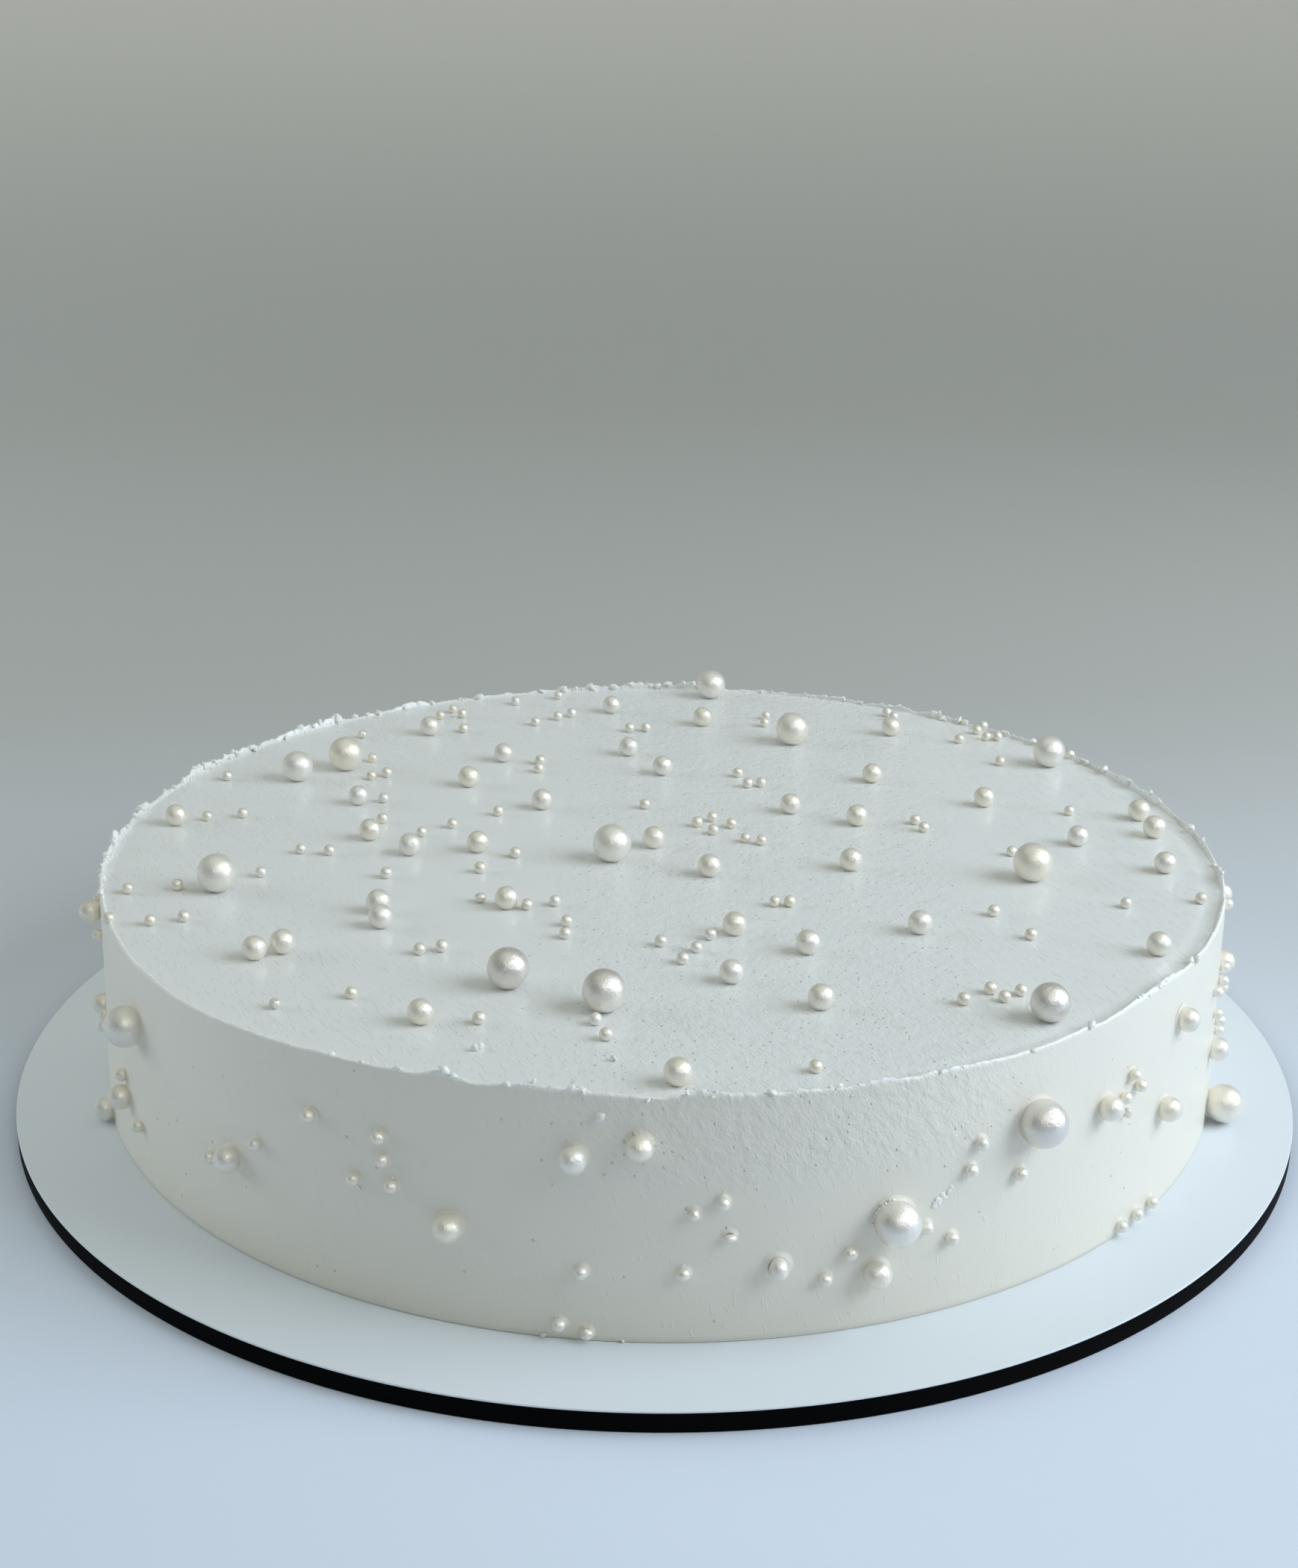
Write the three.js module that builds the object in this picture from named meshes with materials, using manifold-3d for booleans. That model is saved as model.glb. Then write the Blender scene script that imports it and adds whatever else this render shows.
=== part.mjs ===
// A low round cake in smooth ivory cream, scattered with sugar pearls of three sizes,
// on the white-faced round board that it was built on.
// Millimetres, +Z up. The origin is the middle of the board's underside, and the front faces -Y.
// A bearing is in degrees round the cake from the front, positive to the right.

import * as THREE from 'three';
import { mergeVertices } from 'three/addons/utils/BufferGeometryUtils.js';
import Module from 'manifold-3d';

// Board: black core with a thin white face.
const boardRadius = 200;
const boardThickness = 6;
const boardFaceThickness = 0.5;
const boardSegments = 84;

// Cake: a low drum of cream, a little wider at its foot, set slightly off the board's middle.
const cakeFootRadius = 174;
const cakeRimRadius = 172.4;
const cakeHeight = 67;
const cakeOffset = [1.2, 2.1];
const cakeSegments = 120;

// The torn lip that the scraper left standing round the rim.
const lipStart = 2.5;
const lipCrestInset = 0.2;
const lipWidth = 1.4;
const lipInnerSlope = 2.4;
const lipLowHeight = 0.9;
const lipRaggedHeight = 2.4;
const lipRadialWander = 1.1;
const lipSeed = 7;

// The wall isn't quite round: it wanders in slow waves, and swells here and there towards the rim.
// Each wave has the number of times that it goes round the cake, its start in radians and its share.
const wallWander = 0.5;
const wallWaves = [
  { count: 2, start: 1.1, share: 1 },
  { count: 5, start: -0.4, share: 0.6 },
];
const swells = [
  { bearing: -44, halfWidth: 26, depth: 2.4 },
  { bearing: -82, halfWidth: 22, depth: 0.6 },
  { bearing: 76, halfWidth: 30, depth: 1.3 },
];

// Lumps that stand up from the lip: bearing, extra height, half width in degrees.
const lipLumps = [
  [-134, 1, 3], [-120.5, 1.4, 2.5], [-111.5, 2.2, 2.5], [-98, 1.6, 3], [-91.5, 1.8, 2.5], [-85.5, 1.6, 2.5],
  [-11, 1.4, 4], [25, 1.2, 3], [47, 1.2, 2.5], [50.5, 1.4, 2.5], [176, 1.4, 5],
];

// The lip is smooth from one bearing to the next, where the scraper drew it cleanly.
const smoothLip = { from: -72, to: -20, share: 0.3 };

// Sugar pearls are many-sided balls: the larger the ball, the more sides it has.
const golden = (1 + Math.sqrt(5)) / 2;
const icosahedronCorner = new THREE.Vector3(0, 1, golden).normalize();
const dodecahedronCorner = new THREE.Vector3(1, 1, 1).normalize();

// Each size: its diameter, the share of its radius that its middle stands off the top and off the wall,
// how unevenly it comes, and its ball with the direction of one corner.
const large = {
  diameter: 12,
  offTop: 0.92,
  offWall: 0.5,
  spread: 0,
  ball: (radius) => new THREE.IcosahedronGeometry(radius, 1),
  corner: icosahedronCorner,
};
const medium = {
  diameter: 7.2,
  offTop: 0.88,
  offWall: 0.6,
  spread: 0.05,
  ball: (radius) => new THREE.DodecahedronGeometry(radius),
  corner: dodecahedronCorner,
};
const small = {
  diameter: 3.7,
  offTop: 0.8,
  offWall: 0.65,
  spread: 0.05,
  ball: (radius) => new THREE.IcosahedronGeometry(radius),
  corner: icosahedronCorner,
};
const socketGap = 0.35;
const sizeSeed = 11;

// Large pearls on the top: x, y from the cake's middle, diameter.
const largeOnTop = [
  [-41, -108, 11.5], [-15, -122, 11.7], [-132, -41, 11.8], [-15, -13.5, 12], [-124, 60, 10.6],
  [-109, 72, 12.1], [101, -126, 10.6], [113, -27, 12.1], [20, 162, 11], [48, 105, 12], [137, 82, 11.2],
];

// Large pearls on the wall: bearing, height above the board, diameter.
const largeOnWall = [
  [19.5, 30, 12], [33.4, 48, 12.8], [-56.8, 48.8, 12],
];

// Medium pearls on the top: x, y.
const mediumOnTop = [
  [-62, -131], [-112, -91], [-105, -86.5], [-80, -68], [-82, -57], [-156, 15], [-100, 36], [-92, 3],
  [-78, -10], [-57, -7], [-39, 33], [-65, 55], [-45, -53], [-2, -2], [-84, 112], [-18, 141],
  [-55, 82], [-11, 90], [1, 69], [21, -71], [41, -84], [19, -104], [42, -120], [74, -69],
  [139, -83], [4, -164], [15, -26], [58.5, -20], [43, 31], [64, 20], [108, 39], [132.5, 3],
  [157, 27], [158.5, 11], [155, -20], [73, 63], [16, 126], [85, 116],
];

// Medium pearls on the wall: bearing, height above the board and, where it isn't the usual one,
// the distance from the wall to the pearl's middle.
const mediumOnWall = [
  [-79, 56.5, 3.3], [-70, 4], [-61, 21], [-82.6, 20.7], [-40, 29], [-17.5, 28], [-7, 51], [-1.7, 55],
  [9.6, 21], [18, 16], [42.5, 43], [53, 30.5], [56, 54], [69.5, 27.4], [81, 40.5], [85.5, 57.5],
];

// Small pearls on the top: x, y.
const smallOnTop = [
  [-158, -67], [-146, -68], [-137, -65], [-67, -87], [-61, -85], [-27, -66], [-27, -75], [-101, -123],
  [-82, -116], [-47, -131], [-17, -131], [-14, -140], [-147, 19], [-136, 22], [-92, 38], [-90, 18],
  [-76, 6], [-67, 14], [-53, 26], [-5, 34], [-112, -10], [-103, -11], [-121, -30], [-83, -30],
  [-55, -25], [-45, -12], [-158, -44], [-144, -41], [-53, -49], [-39, -54], [-31, -51], [-148, 59],
  [-99, 61], [-94, 64], [-108, 107], [-101, 80], [-82, 131], [-78, 139], [-74, 133], [-72, 115],
  [-55, 150], [-39, 158], [-46, 124], [-38, 131], [-33, 135], [-11, 117], [-5, 118], [-42, 79],
  [-42, 70], [14, -75], [10, -84], [6, -92], [0, -80], [80, -117], [88, -110], [91, -115],
  [96, -111], [105, -73], [97, -56], [38, -157], [12, 17], [17, 22], [17, 10], [23, 16],
  [27, 3], [32, 1], [30, 56], [34.5, 57], [27, 67], [83, 21], [85, 14], [135, 31],
  [110, -7], [160, -45], [137, -49], [33.5, -50], [38, -50], [86, 139], [88, 134], [40, 134],
  [39, 125], [109, 107], [120, 82], [117, 118], [120, 123.3], [119.4, 110.5], [123.4, 110.5], [146, 90],
];

// Small pearls on the wall, given in the same way.
const smallOnWall = [
  [-80.8, 59], [-78, 50], [-80.4, 20.2], [-77, 21], [-61.5, 27.1], [-57, 17], [-43, 25.8], [-36.7, 36.4],
  [-30.6, 50.2], [-23.8, 49], [-23.5, 42.8], [-26.3, 35.6], [-22.7, 36], [-6.4, 19.8], [-8.2, 4.6], [-6, 2.6],
  [1.9, 20.2], [2.7, 36.6], [5, 39.6], [5.6, 30], [13.6, 16.2], [15.7, 22.6], [22.5, 26], [25, 21.2],
  [27.5, 46.2], [26.6, 39.4], [31.8, 34.2], [45.2, 42.7], [45.6, 38], [46.5, 48], [47.6, 43.8], [46, 3.2],
  [48.6, 3.6], [51.4, 3.6], [75, 46.5, 1.5], [72, 46, 1.5], [68, 47.6], [76.5, 38, 1.5], [69.5, 38.7],
  [73, 31.8, 1.5], [75.5, 25, 1.5], [80.3, 60.5, 1.6],
];

// One large pearl lies on the board against the wall's foot, its middle this far off the wall.
const pearlAtFoot = { bearing: 72, offWall: 5, diameter: 11.7 };

// Round the back, pearls are strewn by a seeded rule at the density of the front.
const backFrom = 97;
const backTo = 263;
const backHeights = [6, 59];
const backCounts = { large: 5, medium: 14, small: 37 };
const backSeed = 20261;
const tries = 60;
const clearance = 0.6;

// A small seeded generator, so that the same cake comes out every time.
function seededRandom(seed) {
  let state = seed;
  return () => {
    state = (state + 0x6d2b79f5) | 0;
    let mixed = Math.imul(state ^ (state >>> 15), 1 | state);
    mixed = (mixed + Math.imul(mixed ^ (mixed >>> 7), 61 | mixed)) ^ mixed;
    return ((mixed ^ (mixed >>> 14)) >>> 0) / 4294967296;
  };
}

const lipRandom = seededRandom(lipSeed);
const sizeRandom = seededRandom(sizeSeed);
const backRandom = seededRandom(backSeed);

const radians = THREE.MathUtils.degToRad;
const degreesApart = (a, b) => Math.abs(((a - b + 540) % 360) - 180);

// A smooth bump: 1 at its middle, 0 from its half width on.
function bump(apart, halfWidth) {
  return apart < halfWidth ? 0.5 + 0.5 * Math.cos((Math.PI * apart) / halfWidth) : 0;
}

// How far the wall stands outside its plain cone at a bearing and a share of the height.
function wallOffset(bearing, share) {
  const angle = radians(bearing);
  let wander = 0;
  for (const wave of wallWaves) {
    wander += wave.share * Math.sin(wave.count * angle + wave.start);
  }
  let offset = wallWander * wander;
  for (const swell of swells) {
    offset += swell.depth * bump(degreesApart(bearing, swell.bearing), swell.halfWidth);
  }
  return offset * share;
}

function wallRadius(bearing, height) {
  const share = height / cakeHeight;
  return cakeFootRadius + (cakeRimRadius - cakeFootRadius) * share + wallOffset(bearing, share);
}

// The lip's height and lean at each step round the rim: ragged, with a few lumps.
function lipSteps() {
  const steps = [];
  for (let i = 0; i < cakeSegments; i += 1) {
    const bearing = (360 * i) / cakeSegments;
    const signed = bearing > 180 ? bearing - 360 : bearing;
    const smooth = signed > smoothLip.from && signed < smoothLip.to ? smoothLip.share : 1;
    const ragged = lipRandom() ** 2 * lipRaggedHeight * smooth;
    const lean = (lipRandom() - 0.5) * lipRadialWander * smooth;
    let height = lipLowHeight + ragged;
    for (const [lumpBearing, extra, halfWidth] of lipLumps) {
      height += extra * bump(degreesApart(signed, lumpBearing), halfWidth);
    }
    steps.push({ height, lean });
  }
  return steps;
}

// The cream: a turned profile from the axis out and back, whose rings are then moved off the round.
function creamGeometry() {
  const top = cakeHeight;
  const rings = [
    { radius: 0, height: 0 },
    { height: 0, onWall: true },
    { height: top - lipStart, onWall: true },
    { height: top, onWall: true, crest: true, inset: lipCrestInset },
    { height: top, onWall: true, crest: true, inset: lipWidth },
    { height: top, onWall: true, inset: lipWidth + lipInnerSlope },
    { radius: 0, height: top },
  ];
  const profile = rings.map((ring) => new THREE.Vector2(ring.radius ?? cakeFootRadius, ring.height));
  const geometry = new THREE.LatheGeometry(profile, cakeSegments);
  geometry.rotateX(Math.PI / 2);
  const steps = lipSteps();
  const positions = geometry.attributes.position;
  for (let i = 0; i <= cakeSegments; i += 1) {
    const step = i % cakeSegments;
    const bearing = (360 * step) / cakeSegments;
    rings.forEach((ring, j) => {
      if (!ring.onWall) return;
      const { height, lean } = steps[step];
      const radius = wallRadius(bearing, ring.height) - (ring.inset ?? 0) + (ring.crest ? lean : 0);
      const lift = ring.crest ? height : 0;
      positions.setXYZ(
        i * rings.length + j,
        radius * Math.sin(radians(bearing)),
        -radius * Math.cos(radians(bearing)),
        ring.height + lift,
      );
    });
  }
  return geometry;
}

// A point at a bearing, a distance out from the cake's axis and a height above the board.
function polar(bearing, out, height) {
  return new THREE.Vector3(out * Math.sin(radians(bearing)), -out * Math.cos(radians(bearing)), height);
}

// A pearl of a size, with one corner turned inward, so that even a small one bites into the cream.
function pearlAt(size, at, inward, radius) {
  const turn = new THREE.Quaternion().setFromUnitVectors(size.corner, inward);
  return { at, turn, radius, ball: size.ball };
}

// Where a pearl lies, from the cake's middle at the board's top: on the top, or pressed into the wall.
function placeOnTop(size, x, y, diameter) {
  const radius = diameter / 2;
  const at = new THREE.Vector3(x, y, cakeHeight + radius * size.offTop);
  return pearlAt(size, at, new THREE.Vector3(0, 0, -1), radius);
}

function placeOnWall(size, bearing, height, diameter, offWall = (diameter / 2) * size.offWall) {
  const radius = diameter / 2;
  const out = wallRadius(bearing, height) + offWall;
  return pearlAt(size, polar(bearing, out, height), polar(bearing, -1, 0), radius);
}

const uneven = (size) => size.diameter * (1 + size.spread * (2 * sizeRandom() - 1));

// Whether a pearl keeps clear of every pearl already there.
function isClear(pearl, others) {
  return others.every((other) => pearl.at.distanceTo(other.at) > pearl.radius + other.radius + clearance);
}

// Strews pearls of one size over the back of the wall, skipping any that would meet another.
function strewBack(size, count, others) {
  const strewn = [];
  for (let i = 0; i < count; i += 1) {
    for (let attempt = 0; attempt < tries; attempt += 1) {
      const bearing = backFrom + (backTo - backFrom) * backRandom();
      const height = backHeights[0] + (backHeights[1] - backHeights[0]) * backRandom();
      const pearl = placeOnWall(size, bearing, height, uneven(size));
      if (isClear(pearl, [...others, ...strewn])) {
        strewn.push(pearl);
        break;
      }
    }
  }
  return strewn;
}

const largePearls = [
  ...largeOnTop.map(([x, y, diameter]) => placeOnTop(large, x, y, diameter)),
  ...largeOnWall.map(([bearing, height, diameter]) => placeOnWall(large, bearing, height, diameter)),
];
const mediumPearls = [
  ...mediumOnTop.map(([x, y]) => placeOnTop(medium, x, y, uneven(medium))),
  ...mediumOnWall.map(([bearing, height, off]) => placeOnWall(medium, bearing, height, uneven(medium), off)),
];
const smallPearls = [
  ...smallOnTop.map(([x, y]) => placeOnTop(small, x, y, uneven(small))),
  ...smallOnWall.map(([bearing, height, off]) => placeOnWall(small, bearing, height, uneven(small), off)),
];

// The large pearl at the wall's foot lies on the board and only just touches the cream.
const { bearing: footBearing, offWall: footOff, diameter: footDiameter } = pearlAtFoot;
largePearls.push(placeOnWall(large, footBearing, footDiameter / 2 + socketGap, footDiameter, footOff));

largePearls.push(...strewBack(large, backCounts.large, [...mediumPearls, ...smallPearls, ...largePearls]));
mediumPearls.push(...strewBack(medium, backCounts.medium, [...mediumPearls, ...smallPearls, ...largePearls]));
smallPearls.push(...strewBack(small, backCounts.small, [...mediumPearls, ...smallPearls, ...largePearls]));

// Solids for joining and cutting. Corners closer together than the weld distance become one.
const weldDistance = 1e-4;
const wasm = await Module();
wasm.setup();

function solidFrom(geometry) {
  const bare = geometry.clone();
  bare.deleteAttribute('normal');
  bare.deleteAttribute('uv');
  const merged = mergeVertices(bare, weldDistance);
  const corners = merged.index.array;
  const triangles = [];
  for (let i = 0; i < corners.length; i += 3) {
    const [a, b, c] = [corners[i], corners[i + 1], corners[i + 2]];
    if (a !== b && b !== c && c !== a) triangles.push(a, b, c);
  }
  const mesh = new wasm.Mesh({
    numProp: 3,
    vertProperties: new Float32Array(merged.attributes.position.array),
    triVerts: new Uint32Array(triangles),
  });
  return new wasm.Manifold(mesh);
}

function geometryFrom(solid) {
  const mesh = solid.getMesh();
  const geometry = new THREE.BufferGeometry();
  geometry.setAttribute('position', new THREE.BufferAttribute(mesh.vertProperties, 3));
  geometry.setIndex(new THREE.BufferAttribute(mesh.triVerts, 1));
  return geometry;
}

function pearlSolid(pearl, extra) {
  const geometry = pearl.ball(pearl.radius + extra);
  geometry.applyQuaternion(pearl.turn);
  geometry.translate(pearl.at.x, pearl.at.y, pearl.at.z);
  return solidFrom(geometry);
}

// The cake: cream, joined with every medium and small pearl, and hollowed where a large pearl sits.
function cakeGeometry() {
  let cake = solidFrom(creamGeometry());
  for (const pearl of [...mediumPearls, ...smallPearls]) {
    cake = cake.add(pearlSolid(pearl, 0));
  }
  for (const pearl of largePearls) {
    cake = cake.subtract(pearlSolid(pearl, socketGap));
  }
  return geometryFrom(cake);
}

// A plain round disc that stands on z = 0, for the board's core and its white face.
function discGeometry(radius, height) {
  const profile = [
    new THREE.Vector2(0, 0),
    new THREE.Vector2(radius, 0),
    new THREE.Vector2(radius, height),
    new THREE.Vector2(0, height),
  ];
  const geometry = new THREE.LatheGeometry(profile, boardSegments);
  geometry.rotateX(Math.PI / 2);
  return geometry;
}

const creamMaterial = new THREE.MeshStandardMaterial({ color: 0xe9e8e2, roughness: 0.42, metalness: 0 });
const pearlMaterial = new THREE.MeshStandardMaterial({ color: 0xeeeae0, roughness: 0.3, metalness: 0 });
const boardFaceMaterial = new THREE.MeshStandardMaterial({ color: 0xe8eaec, roughness: 0.35, metalness: 0 });
const boardCoreMaterial = new THREE.MeshStandardMaterial({ color: 0x1b1a1a, roughness: 0.6, metalness: 0 });

function namedMesh(name, geometry, material) {
  const mesh = new THREE.Mesh(geometry, material);
  mesh.name = name;
  return mesh;
}

const model = new THREE.Group();

const coreHeight = boardThickness - boardFaceThickness;
const boardCore = namedMesh('board_core', discGeometry(boardRadius, coreHeight), boardCoreMaterial);
const boardFace = namedMesh('board_face', discGeometry(boardRadius, boardFaceThickness), boardFaceMaterial);
boardFace.position.z = coreHeight;
model.add(boardCore, boardFace);

const cakeGroup = new THREE.Group();
cakeGroup.position.set(cakeOffset[0], cakeOffset[1], boardThickness);
cakeGroup.add(namedMesh('cake', cakeGeometry(), creamMaterial));
largePearls.forEach((pearl, i) => {
  const name = `pearl_large_${String(i + 1).padStart(2, '0')}`;
  const mesh = namedMesh(name, pearl.ball(pearl.radius), pearlMaterial);
  mesh.quaternion.copy(pearl.turn);
  mesh.position.copy(pearl.at);
  cakeGroup.add(mesh);
});
model.add(cakeGroup);

export default model;
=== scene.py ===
# %% [markdown]
# A low round cake in smooth ivory cream, scattered with sugar pearls of three sizes, stands on a white
# board with a black edge. Its solids are made elsewhere and are loaded here as a fixed frame, so nothing
# has to be placed by eye: every fine piece below reads its place and size from a solid and then takes over
# its looks. Lengths are written in millimetres times MM, because Blender counts in metres.

# %% Load the frame
import math
import random

import bmesh
import bpy
import numpy as np
from mathutils import Matrix, Vector, noise
from mathutils.bvhtree import BVHTree


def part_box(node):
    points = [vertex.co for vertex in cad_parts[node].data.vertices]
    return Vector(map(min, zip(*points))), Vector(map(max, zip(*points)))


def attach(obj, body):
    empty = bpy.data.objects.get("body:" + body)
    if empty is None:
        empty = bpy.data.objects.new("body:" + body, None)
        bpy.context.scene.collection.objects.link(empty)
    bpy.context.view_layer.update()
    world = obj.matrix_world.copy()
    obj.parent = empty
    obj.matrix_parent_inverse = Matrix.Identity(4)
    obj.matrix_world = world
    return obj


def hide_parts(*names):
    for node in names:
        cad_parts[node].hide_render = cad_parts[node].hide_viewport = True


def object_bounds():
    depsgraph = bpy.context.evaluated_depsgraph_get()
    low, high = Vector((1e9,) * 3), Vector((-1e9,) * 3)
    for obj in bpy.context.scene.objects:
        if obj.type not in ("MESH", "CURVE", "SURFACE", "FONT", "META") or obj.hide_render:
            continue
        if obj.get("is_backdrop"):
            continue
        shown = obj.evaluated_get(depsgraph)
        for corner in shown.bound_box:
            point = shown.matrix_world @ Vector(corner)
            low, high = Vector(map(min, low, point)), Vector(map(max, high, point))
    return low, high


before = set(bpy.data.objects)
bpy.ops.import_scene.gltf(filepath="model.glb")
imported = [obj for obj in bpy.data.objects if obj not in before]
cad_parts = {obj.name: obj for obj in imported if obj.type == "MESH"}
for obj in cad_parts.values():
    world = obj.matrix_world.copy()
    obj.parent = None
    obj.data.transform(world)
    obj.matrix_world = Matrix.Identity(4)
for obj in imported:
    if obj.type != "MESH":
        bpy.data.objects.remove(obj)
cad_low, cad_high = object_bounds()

MM = 0.001
print("solids loaded:", len(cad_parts), "size in mm:", [round(n / MM, 1) for n in cad_high - cad_low])

# %% [markdown]
# The small and medium pearls are one solid with the cream. To dress them, each one has to be found again.
# A place could be read off by hand, but there are over two hundred. Instead a copy of the solid is welded
# and cut into patches along its inward creases, because a crease like that runs round every pearl where it
# sinks into the cream. A patch whose faces all touch one ball from outside is a pearl. The solid's pearls
# have twelve or twenty flat sides. In both shapes the sides lie at the same share of the corners'
# distance, so INNER_SHARE turns what is measured into the pearl's radius.

# %% Weld a copy of the cake and find the pearls in it
WELD = 0.001 * MM
CREASE = math.radians(30)
PATCH_FACES = 90
TINY_FACE = 0.02 * MM * MM
BALL_MISS = 0.03 * MM
BALL_RADII = (1.2 * MM, 4.5 * MM)
FEWEST_SIDES = 6
INNER_SHARE = math.sqrt((5 + 2 * math.sqrt(5)) / 15)


def welded(node):
    """An editable copy of a solid, with its loose triangles joined."""
    shape = bmesh.new()
    shape.from_mesh(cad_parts[node].data)
    bmesh.ops.remove_doubles(shape, verts=shape.verts, dist=WELD)
    shape.normal_update()
    return shape


def patches(shape):
    """The groups of faces that inward creases cut off from each other."""
    seen = set()
    for start in shape.faces:
        if start in seen:
            continue
        seen.add(start)
        patch, waiting = [], [start]
        while waiting:
            face = waiting.pop()
            patch.append(face)
            for edge in face.edges:
                if len(edge.link_faces) != 2 or edge.calc_face_angle_signed() < -CREASE:
                    continue
                for other in edge.link_faces:
                    if other not in seen:
                        seen.add(other)
                        waiting.append(other)
        yield patch


def ball_in(patch):
    """The middle and radius of the ball whose sides these faces are, or None."""
    sides = [face for face in patch if face.calc_area() > TINY_FACE]
    if len(sides) < FEWEST_SIDES:
        return None
    table = np.array([[*face.normal, 1.0] for face in sides])
    reach = np.array([face.normal.dot(face.verts[0].co) for face in sides])
    found, _, rank, _ = np.linalg.lstsq(table, reach, rcond=0.02)
    if rank < 4 or np.abs(table @ found - reach).max() > BALL_MISS:
        return None
    radius = found[3] / INNER_SHARE
    return (Vector(found[:3]), radius) if BALL_RADII[0] < radius < BALL_RADII[1] else None


cake_solid = welded("cake")
found = [ball_in(patch) for patch in patches(cake_solid) if len(patch) < PATCH_FACES]
balls = sorted((ball for ball in found if ball), key=lambda ball: tuple(ball[0]))
SMALLEST_MEDIUM = 2.5 * MM
medium_pearls = [ball for ball in balls if ball[1] > SMALLEST_MEDIUM]
small_pearls = [ball for ball in balls if ball[1] <= SMALLEST_MEDIUM]
print("medium pearls:", len(medium_pearls), "small pearls:", len(small_pearls))

# %% [markdown]
# The large pearls are solids of their own, so their boxes tell where they are. The cream's axis, its
# height and the radius of its foot come from the ring of corners that stands on the board, and two higher
# rings tell how far the wall wanders off the round and how high the torn lip stands at each bearing. The
# crest has a corner every CREST_TURN degrees.

# %% Measure the large pearls and the cream
large_names = sorted(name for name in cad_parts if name.startswith("pearl_large"))


def ball_of(node):
    """The middle and radius of a pearl that is a solid of its own."""
    low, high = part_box(node)
    middle = (low + high) / 2
    radius = max((vertex.co - middle).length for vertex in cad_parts[node].data.vertices)
    return middle, radius


large_pearls = {name: ball_of(name) for name in large_names}

corners = np.array([vertex.co for vertex in cake_solid.verts])
cake_solid.free()
base = corners[:, 2].min()
foot = corners[corners[:, 2] < base + WELD]
axis = (foot.min(axis=0) + foot.max(axis=0)) / 2
FOOT_RADIUS = (foot[:, 0].max() - foot[:, 0].min()) / 2
CAKE_HEIGHT = 67 * MM
RIM_RADIUS = FOOT_RADIUS - 1.6 * MM
LIP_START = 2.5 * MM
NECK_REACH = 4 * MM
CREST_LEAST = 0.2 * MM
CREST_REACH = 2.6 * MM
CREST_TURN = 3


def polar(points):
    """Bearing from the front in degrees, distance from the axis and height above the board of points."""
    x, y = points[:, 0] - axis[0], points[:, 1] - axis[1]
    return np.degrees(np.arctan2(x, -y)), np.hypot(x, y), points[:, 2] - base


def around(bearings, values):
    """Puts values at bearings in order and closes them round the circle, for np.interp."""
    order = np.argsort(bearings)
    bearings, values = bearings[order], values[order]
    return np.r_[bearings - 360, bearings, bearings + 360], np.r_[values, values, values]


corner_bearings, corner_radii, corner_heights = polar(corners)
at_neck = np.abs(corner_heights - (CAKE_HEIGHT - LIP_START)) < WELD
at_neck &= corner_radii > RIM_RADIUS - NECK_REACH
neck_share = (CAKE_HEIGHT - LIP_START) / CAKE_HEIGHT
neck_plain = FOOT_RADIUS + (RIM_RADIUS - FOOT_RADIUS) * neck_share
neck_offsets = around(corner_bearings[at_neck], (corner_radii[at_neck] - neck_plain) / neck_share)

at_crest = (corner_heights > CAKE_HEIGHT + CREST_LEAST) & (corner_radii > RIM_RADIUS - CREST_REACH)
at_crest &= np.abs(corner_bearings / CREST_TURN - np.round(corner_bearings / CREST_TURN)) < 0.001
crest_heights = around(corner_bearings[at_crest], corner_heights[at_crest] - CAKE_HEIGHT)


def span(values):
    """The lowest and the highest of some lengths, in millimetres."""
    return np.round([values.min() / MM, values.max() / MM], 2)


print("neck corners:", at_neck.sum(), "crest corners:", at_crest.sum())
print("the wall wanders by mm:", span(neck_offsets[1]), "the lip stands up by mm:", span(crest_heights[1]))
print("foot radius in mm:", round(FOOT_RADIUS / MM, 2), "axis in mm:", np.round(axis / MM, 2))

# %% [markdown]
# The cream is a drum of revolution, so its outline is drawn once, as a row of corners from the axis along
# the board, up the wall, over the lip and back to the axis, and is spun round. A plain cylinder with
# bevels would have no corners left for the lip. One slice is spun and then doubled round the axis four
# times, which is much quicker than one long spin. The lip is torn and crumbly, so its ring edges are
# subdivided to three times as many steps as the plain wall, and only then are the corners moved off the
# round.
# Blender's spin makes its faces in another order in every run. They are put in a fixed order here, so
# that a ray that falls on the cream lands on the same spot each time.

# %% Spin the drum of cream
SLICE_STEPS = 45
SLICE_DOUBLINGS = 4
LIP_CUTS = 2
WALL_STEP = 1.6 * MM
NECK_STEP = 0.45 * MM
LIP_WIDTH = 1.2 * MM
LIP_SLOPE = 2.6 * MM
CREST_STEPS = 6
SLOPE_STEPS = 8
FOOT_ROUND = 0.35 * MM
FOOT_INSET = 1.2 * MM
TOP_INSETS = np.array([4.6, 5.4, 6.2, 7, 8, 9, 12, 20, 40, 75, 120]) * MM


def plain_radius(height):
    """The radius of the plain cone at a height above the board."""
    return FOOT_RADIUS + (RIM_RADIUS - FOOT_RADIUS) * height / CAKE_HEIGHT


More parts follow.
